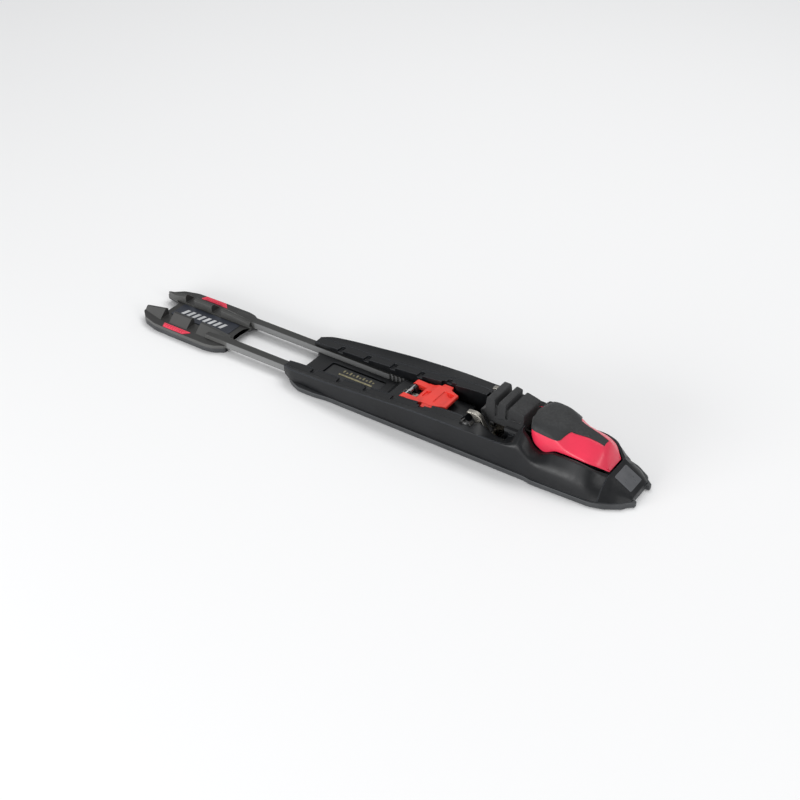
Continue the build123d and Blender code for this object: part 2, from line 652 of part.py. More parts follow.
# Ribbed inserts in the ledges
for side, label in ((1, "heel_insert_left"), (-1, "heel_insert_right")):
    with BuildPart() as heel_insert:
        insert_block(side, insert_clearance, ledge_z - insert_sink, insert_t)
        for index in range(rib_count):
            x = insert_x - insert_l / 2 + 3.2 + index * 2.2
            inner, outer = sorted((side * (insert_y - insert_w + 0.7), side * (insert_y - 0.7)))
            box_cut(x - 0.5, x + 0.5, inner, outer, ledge_z - insert_sink + insert_t - 0.1,
                    ledge_z - insert_sink + insert_t + 0.4, Mode.ADD)
    export(heel_insert, label)

with BuildPart() as heel_label:
    with BuildSketch(Plane.XY.offset(heel_floor_z)) as outline:
        with Locations((heel_screw_x, 0)):
            RectangleRounded(heel_floor_front_x - heel_floor_rear_x - 8, label_w, 1.5)
    extrude(outline.sketch, amount=label_t)
export(heel_label, "heel_label")

# Slider under the heel plate, with the same ski channel as the base plate
with BuildPart() as heel_slider:
    plan_block(heel_outline, 0, base_h)
    arm_window(base_h)
    plan_block([(heel_tip_x - 2, 9.6), (heel_floor_rear_x - 3, 7.4), (heel_floor_rear_x, 5.2)],
               -1, 30, Mode.SUBTRACT)
    box_cut(heel_tip_x - 1, heel_tip_x + 70, -channel_mouth_half_w, channel_mouth_half_w,
            -1, channel_mouth_h)
    box_cut(heel_tip_x - 1, heel_tip_x + 70, -channel_undercut_half_w, channel_undercut_half_w,
            channel_mouth_h, channel_h)
    screw_hole(heel_screw_x, heel_floor_z)
export(heel_slider, "heel_slider")

# ---------------------------------------------------------------- small fixed pieces
with BuildPart() as size_scale:
    scale_top = base_h + scale_t
    box_cut(pit_rear_x + scale_gap, pit_front_x - scale_gap, -pit_half_w + scale_gap,
            pit_half_w - scale_gap, base_h, scale_top, Mode.ADD)
    box_cut(pit_rear_x + 3, pit_front_x - 4, -0.6, 0.6, scale_top, scale_top + 0.2, Mode.ADD)
    for index in range(9):
        x = pit_rear_x + 4 + index * 3.4
        box_cut(x - 0.4, x + 0.4, 1.6, 4.6, scale_top, scale_top + 0.2, Mode.ADD)
export(size_scale, "size_scale")

with BuildPart() as nose_badge:
    badge_block(0.05)
export(nose_badge, "nose_badge")


def screw_at(x, top):
    """One screw down to the ski channel, its slotted head flush with the face at top."""
    with Locations((x, 0, top)):
        Cylinder(screw_head_r, screw_head_h, align=(Align.CENTER, Align.CENTER, Align.MAX))
        Cylinder(screw_r, top - channel_h, align=(Align.CENTER, Align.CENTER, Align.MAX))
        Box(3.6, 0.8, 1.0, mode=Mode.SUBTRACT)
        Box(0.8, 3.6, 1.0, mode=Mode.SUBTRACT)


with BuildPart() as housing_screws:
    for x in housing_screw_xs:
        screw_at(x, floor_z)
export(housing_screws, "housing_screws")

with BuildPart() as heel_screw:
    screw_at(heel_screw_x, heel_floor_z)
export(heel_screw, "heel_screw")
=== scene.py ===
"""Looks of a slide-on cross-country touring binding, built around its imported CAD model.

Lengths are millimetres in the CAD frame unless a name ends in _m: +X towards the toe, +Y to
the skier's left, +Z up, origin on the base face. MM turns them into metres.
"""
import json
from math import cos, pi, radians, sin

import bmesh
import bpy
from mathutils import Matrix, Vector


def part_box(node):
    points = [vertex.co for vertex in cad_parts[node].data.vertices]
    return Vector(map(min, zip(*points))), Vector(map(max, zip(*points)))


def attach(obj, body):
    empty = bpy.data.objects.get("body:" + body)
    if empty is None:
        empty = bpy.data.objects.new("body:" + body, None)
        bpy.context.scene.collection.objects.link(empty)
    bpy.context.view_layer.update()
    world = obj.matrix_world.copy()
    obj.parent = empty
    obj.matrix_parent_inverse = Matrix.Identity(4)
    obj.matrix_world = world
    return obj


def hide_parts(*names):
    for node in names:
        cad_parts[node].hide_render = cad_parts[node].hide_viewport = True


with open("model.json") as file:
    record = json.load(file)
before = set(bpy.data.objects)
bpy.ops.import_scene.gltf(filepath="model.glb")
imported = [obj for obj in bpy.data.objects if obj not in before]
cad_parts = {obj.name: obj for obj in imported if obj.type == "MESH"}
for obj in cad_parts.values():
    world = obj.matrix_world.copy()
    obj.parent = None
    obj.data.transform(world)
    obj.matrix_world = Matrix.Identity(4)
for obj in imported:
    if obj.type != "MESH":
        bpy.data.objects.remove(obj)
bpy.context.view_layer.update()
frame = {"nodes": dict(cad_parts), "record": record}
MM = 0.001
record = frame["record"]
BODY_OF = {node: body for body, nodes in record["behaviour"]["bodies"].items() for node in nodes}
JOINT_AT = {joint["name"]: [c / MM for c in joint["pos_m"]]
            for joint in record["behaviour"]["joints"] if "pos_m" in joint}


def cad(node):
    """Lowest and highest corner of a CAD node, in millimetres."""
    low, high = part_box(node)
    return [c / MM for c in low], [c / MM for c in high]


# ---------------------------------------------------------------- places taken from the frame
HOUSING_LOW, HOUSING_HIGH = cad("front_housing")
BASE_HIGH = cad("base_plate")[1]
HEEL_LOW, HEEL_HIGH = cad("heel_plate")
SEAT_LOW, SEAT_HIGH = cad("bar_seats")
REAR_X = HOUSING_LOW[0]
NOSE_X = HOUSING_HIGH[0] + 1
BASE_TOP = HOUSING_LOW[2]
FLOOR_Z = cad("housing_screws")[1][2]
LEVER_X, _, LEVER_Z = JOINT_AT["lever_lift"]
CRANK_X, _, CRANK_Z = JOINT_AT["link_turn"]
JAW_X, _, JAW_Z = JOINT_AT["jaw_open"]
LOCK_X, _, LOCK_Z = JOINT_AT["lock_flip"]
BAR_X, _, BAR_Z = next([c / MM for c in mount["pos_m"]]
                       for mount in record["mounts"] if mount["kind"] == "clamp")
TAIL_X = HEEL_LOW[0]
ARM_FRONT_X = HEEL_HIGH[0]
FLEXOR_FRONT_X = cad("flexor_carrier")[1][0]

# ---------------------------------------------------------------- other driving dimensions
DECK_Z = 8.4
RAIL_IN = 11.2
RAIL_OUT = 17.1
WALL_W = 22.6
BAY_W = 13.4
BAY_X = 35.2
DOME_L = 15.0
# Arms of the heel plate, and their channels in the housing
ARM_IN = 10.2
ARM_OUT = 15.2
ARM_LOW = BASE_TOP + 0.35
ARM_HIGH = ARM_LOW + 4.0
ARM_GAP = 0.4
# Pins, and the running fit of the bores that turn on them
PIN_R = 1.5
SMALL_PIN_R = 1.25
FIT = 0.06
# Ski channel under the base plate and the heel slider
CHANNEL_W = 13.0
UNDERCUT_W = 15.0
MOUTH_H = 0.8
CHANNEL_H = 1.8
# A joined piece starts this far inside its neighbour's face
BITE = 0.01


# ---------------------------------------------------------------- mesh helpers
def mesh_piece(name, points, faces):
    """A mesh object from points in millimetres."""
    mesh = bpy.data.meshes.new(name)
    mesh.from_pydata([[c * MM for c in point] for point in points], [], faces)
    work = bmesh.new()
    work.from_mesh(mesh)
    bmesh.ops.remove_doubles(work, verts=work.verts, dist=1e-7)
    bmesh.ops.recalc_face_normals(work, faces=work.faces)
    work.to_mesh(mesh)
    work.free()
    piece = bpy.data.objects.new(name, mesh)
    bpy.context.scene.collection.objects.link(piece)
    return piece


def skin(name, rings):
    """A closed skin over rings of equal length, capped at both ends."""
    count = len(rings[0])
    faces = []
    for start in range(0, (len(rings) - 1) * count, count):
        for i in range(count):
            j = (i + 1) % count
            faces.append((start + i, start + j, start + j + count, start + i + count))
    faces.append(tuple(range(count)))
    faces.append(tuple(range((len(rings) - 1) * count, len(rings) * count)))
    return mesh_piece(name, [point for ring in rings for point in ring], faces)


def slopes(xs, values):
    """Slopes at xs of a smooth curve through the values that never overshoots them."""
    steps = [(b - a) / (q - p) for a, b, p, q in zip(values, values[1:], xs, xs[1:])]
    inner = [0 if a * b <= 0 else 2 * a * b / (a + b) for a, b in zip(steps, steps[1:])]
    return [steps[0], *inner, steps[-1]]


def eased(rows, step=2.0):
    """Rows of (x, outline points) filled in about every step along x, on smooth curves."""
    xs = [x for x, _ in rows]
    tracks = list(zip(*[[c for point in outline for c in point] for _, outline in rows]))
    tangents = [slopes(xs, track) for track in tracks]
    filled = []
    for k, (x0, x1) in enumerate(zip(xs, xs[1:])):
        count = max(1, round((x1 - x0) / step))
        for n in range(count + (k == len(xs) - 2)):
            t = n / count
            h = x1 - x0
            a, b, c, d = 2*t**3 - 3*t**2 + 1, t**3 - 2*t**2 + t, 3*t**2 - 2*t**3, t**3 - t**2
            flat = [a * v[k] + b * h * m[k] + c * v[k + 1] + d * h * m[k + 1]
                    for v, m in zip(tracks, tangents)]
            filled.append((x0 + h * t, list(zip(flat[0::2], flat[1::2]))))
    return filled


def soften(outline, radius, cuts=3, closed=True):
    """An outline with each corner turned into a small curve, at most 0.45 of a side long."""
    radii = radius if isinstance(radius, (list, tuple)) else [radius] * len(outline)
    curve = []
    for i, corner in enumerate(outline):
        if not closed and i in (0, len(outline) - 1):
            curve.append(tuple(corner))
            continue
        here = Vector(corner)
        before = Vector(outline[i - 1]) - here
        after = Vector(outline[(i + 1) % len(outline)]) - here
        p = here + before.normalized() * min(radii[i], 0.45 * before.length)
        q = here + after.normalized() * min(radii[i], 0.45 * after.length)
        for n in range(cuts + 1):
            t = n / cuts
            curve.append(tuple(p * (1 - t)**2 + here * 2 * t * (1 - t) + q * t**2))
    return curve


def mirrored(x, half):
    """The ring at x over a half outline of (y, z) and its mirror image."""
    return [(x, y, z) for y, z in half] + [(x, -y, z) for y, z in reversed(half)]


def body_of_rows(name, rows, step=2.0):
    """A smooth symmetric body over rows of (x, half outline)."""
    return skin(name, [mirrored(x, half) for x, half in eased(rows, step)])


def prism(name, outline, axis, low, high):
    """An outline pushed along an axis: (x, z) points along y, (x, y) along z, (y, z) along x."""
    place = {"x": lambda a, b, c: (c, a, b), "y": lambda a, b, c: (a, c, b), "z": lambda a, b, c: (a, b, c)}
    return skin(name, [[place[axis](a, b, c) for a, b in outline] for c in (low, high)])


def slab(outline, y0, y1):
    """An outline of (x, z) points between two planes across y, as a tool for cutting or joining."""
    return prism("tool", outline, "y", *sorted((y0, y1)))


def block(x0, x1, y0, y1, z0, z1):
    """A box between two corners, as a tool for cutting or joining."""
    return slab([(x0, z0), (x1, z0), (x1, z1), (x0, z1)], y0, y1)


def disc(x, z, radius, y0, y1, count=40):
    """A disc across the binding, as a tool for cutting or joining."""
    ring = [(x + radius * cos(2 * pi * i / count), z + radius * sin(2 * pi * i / count))
            for i in range(count)]
    return slab(ring, y0, y1)


def plate_plan(low, high, radius):
    """The plan of a rectangular plate between two corners, with rounded corners."""
    return soften([(low[0], low[1]), (high[0], low[1]), (high[0], high[1]), (low[0], high[1])], radius)


def ski_channel(x0, x1):
    """The two steps of the ski channel from x0 to x1, as tools for cutting."""
    return [block(x0, x1, -CHANNEL_W, CHANNEL_W, -1, MOUTH_H),
            block(x0, x1, -UNDERCUT_W, UNDERCUT_W, MOUTH_H, CHANNEL_H)]


def both(half):
    """A plan outline of (x, +y) points closed by its mirror image."""
    return list(half) + [(x, -y) for x, y in reversed(half)]


def combine(target, operation, tools):
    """Cut (DIFFERENCE), join (UNION) or trim (INTERSECT) the target with each tool in turn."""
    for tool in tools:
        step = target.modifiers.new("step", "BOOLEAN")
        step.operation = operation
        step.solver = "EXACT"
        step.object = tool
    bpy.context.view_layer.update()
    shape = target.evaluated_get(bpy.context.evaluated_depsgraph_get())
    mesh = bpy.data.meshes.new_from_object(shape)
    target.modifiers.clear()
    target.data = mesh
    for tool in tools:
        bpy.data.objects.remove(tool)
    return target


def tidy(piece):
    """Merge points that coincide and faces that lie in one plane."""
    work = bmesh.new()
    work.from_mesh(piece.data)
    bmesh.ops.remove_doubles(work, verts=work.verts, dist=0.004 * MM)
    bmesh.ops.dissolve_limit(work, angle_limit=radians(0.02), verts=work.verts, edges=work.edges)
    work.to_mesh(piece.data)
    work.free()
    return piece


def round_edges(piece, width, segments=2, angle=30):
    """Small radii on the sharp edges, with smooth faces between them."""
    piece.data.shade_smooth()
    soft = piece.modifiers.new("edges", "BEVEL")
    soft.width = width * MM
    soft.segments = segments
    soft.limit_method = "ANGLE"
    soft.angle_limit = radians(angle)
    soft.use_clamp_overlap = False
    soft.miter_outer = "MITER_ARC"
    soft.harden_normals = True


def dress(piece, nodes, material, width=0.2, segments=2):
    """Finish a piece that stands for CAD nodes: its edges, material and body."""
    tidy(piece)
    piece.data.materials.clear()
    piece.data.materials.append(material)
    if width:
        round_edges(piece, width, segments)
    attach(piece, BODY_OF[nodes[0]])
    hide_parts(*nodes)
    return piece


def trim(piece, material, node, width=0.0):
    """Finish a small detail that rides with a CAD node without replacing it."""
    piece.data.materials.clear()
    piece.data.materials.append(material)
    if width:
        round_edges(piece, width)
    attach(piece, BODY_OF[node])
    return piece


def keep(node, material, width=0.15):
    """Show a CAD node as it is, with a material and softened edges."""
    piece = frame["nodes"][node]
    piece.data.materials.clear()
    piece.data.materials.append(material)
    weld = piece.modifiers.new("weld", "WELD")
    weld.merge_threshold = 0.002 * MM
    soft = piece.modifiers.new("edges", "BEVEL")
    soft.width = width * MM
    soft.segments = 2
    soft.limit_method = "ANGLE"
    soft.angle_limit = radians(35)
    soft.use_clamp_overlap = True
    soft.harden_normals = True


# ---------------------------------------------------------------- materials
class Nodes:
    """A material's node tree, with short calls for the nodes used here."""

    def __init__(self, name):
        self.material = bpy.data.materials.new(name)
        self.material.use_nodes = True
        self.tree = self.material.node_tree
        self.shader = self.tree.nodes["Principled BSDF"]
        self.place = self.tree.nodes.new("ShaderNodeTexCoord").outputs["Object"]

    def link(self, output, target):
        self.tree.links.new(output, target)

    def noise(self, size, detail=3.0, stretch=(1, 1, 1)):
        """Noise with features about size millimetres across."""
        mapping = self.tree.nodes.new("ShaderNodeMapping")
        mapping.inputs["Scale"].default_value = stretch
        self.link(self.place, mapping.inputs["Vector"])
        node = self.tree.nodes.new("ShaderNodeTexNoise")
        node.inputs["Scale"].default_value = 1 / (size * MM)
        node.inputs["Detail"].default_value = detail
        self.link(mapping.outputs["Vector"], node.inputs["Vector"])
        return node.outputs["Fac"]

    def ramp(self, output, low, high, start, stop):
        """Map an output's range from low to high onto start to stop, clamped."""
        node = self.tree.nodes.new("ShaderNodeMapRange")
        for socket, value in zip(("From Min", "From Max", "To Min", "To Max"), (low, high, start, stop)):
            node.inputs[socket].default_value = value
        self.link(output, node.inputs["Value"])
        return node.outputs["Result"]

    def blend(self, amount, first, second):
        """Mix two colours, each a colour or an output, by an output."""
        node = self.tree.nodes.new("ShaderNodeMix")
        node.data_type = "RGBA"
        self.link(amount, node.inputs["Factor"])
        for socket, value in ((node.inputs[6], first), (node.inputs[7], second)):
            if isinstance(value, tuple):
                socket.default_value = (*value, 1)
            else:
                self.link(value, socket)
        return node.outputs[2]

    def edges(self, radius):
        """1 near convex or concave edges sharper than the radius in millimetres, 0 elsewhere."""
        bevel = self.tree.nodes.new("ShaderNodeBevel")
        bevel.samples = 6
        bevel.inputs["Radius"].default_value = radius * MM
        flat = self.tree.nodes.new("ShaderNodeNewGeometry")
        dot = self.tree.nodes.new("ShaderNodeVectorMath")
        dot.operation = "DOT_PRODUCT"
        self.link(bevel.outputs["Normal"], dot.inputs[0])
        self.link(flat.outputs["Normal"], dot.inputs[1])
        return self.ramp(dot.outputs["Value"], 0.995, 0.93, 0, 1)

    def facing(self, axis, low, high):
        """0 to 1 as a face turns towards either side along an axis, from low to high."""
        split = self.tree.nodes.new("ShaderNodeSeparateXYZ")
        turned = self.tree.nodes.new("ShaderNodeMath")
        turned.operation = "ABSOLUTE"
        self.link(self.place.node.outputs["Normal"], split.inputs["Vector"])
        self.link(split.outputs[axis], turned.inputs[0])
        return self.ramp(turned.outputs["Value"], low, high, 0, 1)

    def ahead_of(self, x, first, second):
        """One value behind x in millimetres and another ahead of it."""
        split = self.tree.nodes.new("ShaderNodeSeparateXYZ")
        self.link(self.place, split.inputs["Vector"])
        return self.ramp(split.outputs["X"], (x - 0.5) * MM, (x + 0.5) * MM, first, second)

    def bump(self, output, depth, strength=1.0, below=None):
        """Add relief of a depth in millimetres under the shader's normal."""
        node = self.tree.nodes.new("ShaderNodeBump")
        node.inputs["Distance"].default_value = depth * MM
        node.inputs["Strength"].default_value = strength
        self.link(output, node.inputs["Height"])
        if below:
            self.link(below, node.inputs["Normal"])
        self.link(node.outputs["Normal"], self.shader.inputs["Normal"])
        return node.outputs["Normal"]


def shifted(colour, factor):
    """A colour made lighter or darker by a factor."""
    return tuple(min(1.0, c * factor) for c in colour)


def moulded(name, colour, roughness, grain=0.35, depth=0.02, edge_wear_and_highlight=1.9, mottle=0.16, coat=0.0,
            specular=0.38, painted_side_light=None):
    """Moulded plastic: fine grain, slow colour and gloss variation, edges lighter (partly wear, partly
    painted highlight) and, where given, side faces painted lighter as painted side light.
    """
    nodes = Nodes(name)
    cloudy = nodes.ramp(nodes.noise(14), 0.35, 0.65, 0, 1)
    base = nodes.blend(cloudy, shifted(colour, 1 - mottle), shifted(colour, 1 + mottle))
    scuffs = nodes.ramp(nodes.noise(5, 6, (0.25, 1, 1)), 0.58, 0.7, 0, 0.25)
    base = nodes.blend(scuffs, base, shifted(colour, 1 + 2.5 * mottle))
    # Faces turned across the binding are painted lighter, more so ahead of split_x: painted side light
    if painted_side_light:
        split_x, rear_painted_light, front_painted_light = painted_side_light
        painted_light_tone = nodes.blend(nodes.ahead_of(split_x, 0, 1), rear_painted_light, front_painted_light)
        base = nodes.blend(nodes.facing("Y", 0.3, 0.8), base, painted_light_tone)
    # Edges lighter: partly wear, partly painted highlight
    base = nodes.blend(nodes.ramp(nodes.edges(0.5), 0, 1, 0, 0.6), base, shifted(colour, edge_wear_and_highlight))
    nodes.link(base, nodes.shader.inputs["Base Color"])
    gloss = nodes.ramp(nodes.noise(3.5, 5), 0.3, 0.7, roughness - 0.05, roughness + 0.07)
    nodes.link(gloss, nodes.shader.inputs["Roughness"])
    nodes.bump(nodes.noise(grain, 2), depth, 0.5)
    nodes.shader.inputs["Specular IOR Level"].default_value = specular
    nodes.shader.inputs["Coat Weight"].default_value = coat
    nodes.shader.inputs["Coat Roughness"].default_value = 0.25
    return nodes.material


def rubber(name, colour):
    """Rubber: broad sheen, fine pores, lighter edges that are partly dust, partly painted highlight."""
    nodes = Nodes(name)
    cloudy = nodes.ramp(nodes.noise(6, 5), 0.35, 0.68, 0, 1)
    base = nodes.blend(cloudy, shifted(colour, 0.8), shifted(colour, 1.3))
    # Edges lighter: partly dust, partly painted highlight
    base = nodes.blend(nodes.ramp(nodes.edges(0.45), 0, 1, 0, 0.8), base, shifted(colour, 2.6))
    nodes.link(base, nodes.shader.inputs["Base Color"])
    gloss = nodes.ramp(nodes.noise(1.2, 4), 0.3, 0.7, 0.58, 0.74)
    nodes.link(gloss, nodes.shader.inputs["Roughness"])
    nodes.bump(nodes.noise(0.22, 3), 0.035, 0.7)
    nodes.shader.inputs["Sheen Weight"].default_value = 0.12
    nodes.shader.inputs["Sheen Roughness"].default_value = 0.4
    return nodes.material


def metal(name, colour, roughness, lay=(1, 12, 12)):
    """Steel with a drawn surface: fine scratches along one direction."""
    nodes = Nodes(name)
    nodes.shader.inputs["Metallic"].default_value = 1.0
    tint = nodes.ramp(nodes.noise(2.5, 5), 0.3, 0.7, 0, 1)
    nodes.link(nodes.blend(tint, shifted(colour, 0.85), shifted(colour, 1.08)),
               nodes.shader.inputs["Base Color"])
    scratches = nodes.noise(1.4, 6, lay)
    nodes.link(nodes.ramp(scratches, 0.3, 0.7, roughness - 0.06, roughness + 0.1),
               nodes.shader.inputs["Roughness"])
    nodes.bump(scratches, 0.01, 0.4)
    return nodes.material


def printed(name, colour, second, size):
    """Printed film: two inks in a fine worn mottle over a smooth face."""
    nodes = Nodes(name)
    worn = nodes.ramp(nodes.noise(size, 6), 0.4, 0.62, 0, 1)
    nodes.link(nodes.blend(worn, colour, second), nodes.shader.inputs["Base Color"])
    nodes.link(nodes.ramp(nodes.noise(size / 3, 3), 0.3, 0.7, 0.32, 0.5), nodes.shader.inputs["Roughness"])
    nodes.bump(nodes.noise(0.3, 2), 0.008, 0.4)
    return nodes.material


# The housing's edges are made up to nine times lighter: mostly painted highlight along the lips and crests
HOUSING = moulded("housing_plastic", (0.0062, 0.0068, 0.008), 0.38, depth=0.025, edge_wear_and_highlight=9.0, specular=0.3)
BASE = moulded("base_plastic", (0.045, 0.047, 0.05), 0.42, depth=0.02, edge_wear_and_highlight=2.2)
# The heel's side faces are painted lighter, the arms most: painted side light
HEEL = moulded("heel_plastic", (0.032, 0.032, 0.031), 0.42, depth=0.03, edge_wear_and_highlight=2.4,
               painted_side_light=(TAIL_X + 66, (0.085, 0.085, 0.083), (0.17, 0.172, 0.172)))
LEVER_RED = moulded("lever_plastic", (0.74, 0.03, 0.075), 0.36, grain=0.5, depth=0.01, edge_wear_and_highlight=1.3,
                    mottle=0.06, coat=0.25)
LOCK_RED = moulded("lock_plastic", (0.86, 0.045, 0.03), 0.38, grain=0.5, depth=0.01, edge_wear_and_highlight=1.35,
                   mottle=0.06, coat=0.2)
INSERT_RED = rubber("insert_rubber", (0.72, 0.035, 0.07))
SOFT_TOUCH = rubber("soft_touch", (0.013, 0.014, 0.015))
FLEXOR = rubber("flexor_rubber", (0.0125, 0.013, 0.014))
STEEL = metal("pressed_steel", (0.42, 0.4, 0.36), 0.26)
SEAT = metal("dark_steel", (0.1, 0.1, 0.1), 0.35)
PIN = metal("ground_steel", (0.5, 0.5, 0.5), 0.3, (12, 1, 12))
LABEL = printed("label_film", (0.013, 0.017, 0.028), (0.019, 0.024, 0.038), 4)
LABEL_MARK = printed("label_marks", (0.62, 0.63, 0.64), (0.5, 0.51, 0.52), 2)
GOLD = printed("scale_print", (0.34, 0.3, 0.17), (0.2, 0.18, 0.1), 1.5)
SCALE_BED = moulded("scale_bed", (0.02, 0.021, 0.022), 0.4)
CARRIER = moulded("carrier_plastic", (0.035, 0.036, 0.038), 0.5)
BADGE = moulded("badge_plastic", (0.1, 0.103, 0.11), 0.3, depth=0.008, edge_wear_and_highlight=1.5)


# ---------------------------------------------------------------- base plate
WINDOW = both([(REAR_X - 6, 14.2), (REAR_X + 3.0, 10.0), (REAR_X + 6, 8.2)])


def base_plate():
    """The flat foot with the rear wings, the flared front flange and the ski channel."""
    half = BASE_HIGH[1] - 1.2
    outline = both([
        (REAR_X + 3, 17.0), (REAR_X + 8, half - 1.2), (REAR_X + 14, half + 1.2),
        (REAR_X + 24, half + 1.2), (REAR_X + 33, half), (NOSE_X - 55, half),
        (NOSE_X - 51, half + 0.9), (NOSE_X - 18, half - 0.2), (NOSE_X - 11, half - 2.4),
        (NOSE_X - 3, 14.0), (NOSE_X - 1.2, 9.2),
    ])
    piece = prism("base_plate_shell", soften(outline, 1.5), "z", 0, BASE_TOP)
    window = prism("tool", WINDOW, "z", -1, BASE_TOP + 1)
    combine(piece, "DIFFERENCE", [window, *ski_channel(REAR_X - 1, NOSE_X - 16)])
    tip = BASE_HIGH[0]
    corners = []
    for side in (-1, 1):
        plan = [(NOSE_X - 6, side * 6.4), (tip, side * 7.2), (tip, side * 9.2), (NOSE_X - 3.4, side * 12.8)]
        corners.append(prism("tool", plan, "z", 0, BASE_TOP))
    combine(piece, "UNION", corners)
    return dress(piece, ["base_plate"], BASE, 0.35, 3)


# ---------------------------------------------------------------- front housing
# Each row: x, foot width, crest width and height, strip edge width and height, inner width, lip,
# crest radius
RAIL_ROWS = [
    (REAR_X, 16.4, 17.2, 9.4, 16.0, 9.0, RAIL_IN, 0.1, 0.5),
    (REAR_X + 8, 20.0, 20.2, 10.6, RAIL_OUT, 9.5, RAIL_IN, 0.3, 0.5),
    (REAR_X + 36, 21.0, WALL_W - 0.4, 13.2, RAIL_OUT, 10.6, RAIL_IN, 0.3, 0.6),
    (-49, 20.9, WALL_W + 0.3, 15.8, RAIL_OUT, 12.8, RAIL_IN, 0.3, 0.6),
    (-19, 20.8, WALL_W + 0.2, 17.4, RAIL_OUT, 15.9, RAIL_IN, 0.3, 0.6),
    (-7, 20.8, WALL_W, 17.5, RAIL_OUT - 0.1, 17.1, RAIL_IN, 0.2, 0.6),
    (6, 20.8, WALL_W - 0.1, 17.6, 15.6, 17.6, RAIL_IN, 0.05, 0.6),
    (10, 20.8, WALL_W - 0.2, 17.7, 15.0, 19.8, RAIL_IN, 0.05, 0.6),
    (14, 20.8, WALL_W - 0.2, 17.8, 15.0, 18.0, RAIL_IN, 0.05, 0.7),
    (19, 20.8, WALL_W - 0.3, 18.0, 15.0, 15.8, RAIL_IN, 0.05, 0.8),
    (25, 20.8, WALL_W - 0.3, 18.2, 15.0, 15.2, RAIL_IN, 0.05, 1.0),
    (30, 20.9, WALL_W - 0.6, 18.4, 14.6, 18.2, RAIL_IN, 0.05, 1.4),
    (33, 21.0, WALL_W - 0.9, 18.7, 13.6, 24.2, RAIL_IN, 0.05, 2.0),
    (BAY_X - 0.3, 21.0, WALL_W - 1.1, 18.8, 13.2, 26.2, RAIL_IN, 0.05, 2.4),
    (BAY_X + 0.3, 21.0, WALL_W - 1.2, 18.7, 15.0, 25.0, BAY_W, 0.05, 2.4),
    (38.6, 21.1, WALL_W - 1.4, 17.4, 15.0, 21.8, BAY_W, 0.05, 2.8),
    (41.5, 21.2, WALL_W - 1.7, 15.4, 14.9, 17.4, BAY_W, 0.05, 3.0),
    (46, 21.6, 20.5, 12.9, 14.8, 15.4, BAY_W, 0.05, 3.4),
    (54, 21.6, 20.1, 12.4, 14.7, 18.2, BAY_W, 0.05, 3.6),
    (66, 21.3, 19.5, 11.7, 14.7, 18.2, BAY_W, 0.05, 3.6),
    (73, 20.8, 18.7, 10.8, 14.2, 17.0, BAY_W - 0.4, 0.05, 3.4),
    (NOSE_X - 15, 19.4, 15.4, 8.6, 9.4, 12.4, 7.4, 0.05, 2.4),
]
# Each row: x, foot width, crest width and height, top edge width and height
NOSE_ROWS = [
    (NOSE_X - 15.02, 19.4, 15.2, 8.4, 9.4, 12.4),
    (NOSE_X - 8, 16.2, 12.7, 6.4, 7.9, 8.4),
    (NOSE_X - 1, 9.6, 8.8, 3.8, 6.4, 4.4),
]


# Small notches across the strips
NOTCH_COUNT = 5
NOTCH_FIRST = 18
NOTCH_PITCH = 17.8
NOTCH_DEPTH = 1.5


def strip_height(x):
    """Height of the rails' flat strips at x."""
    for (x0, *_, z0, _, _, _), (x1, *_, z1, _, _, _) in zip(RAIL_ROWS, RAIL_ROWS[1:]):
        if x0 <= x <= x1:
            return z0 + (z1 - z0) * (x - x0) / (x1 - x0)


def rail_section(foot, crest_y, crest_z, edge_y, edge_z, inner, lip, crest_r):
    """Half a section: outer wall, crest, slope down to the strip, lips on its edges, inner wall."""
    bulge = 0.35
    half = [
        (foot, BASE_TOP),
        ((foot + crest_y) / 2 + bulge, (BASE_TOP + crest_z) / 2),
        (crest_y, crest_z),
        (edge_y + 0.55, edge_z + lip),
        (edge_y + 0.1, edge_z + lip),
        (edge_y - 0.1, edge_z),
        (inner + 0.75, edge_z),
        (inner + 0.6, edge_z + lip),
        (inner, edge_z + lip),
        (inner, FLOOR_Z),
    ]
    return soften(half, [0, crest_r, crest_r, 0, 0, 0, 0, 0, 0, 0], 4, closed=False)


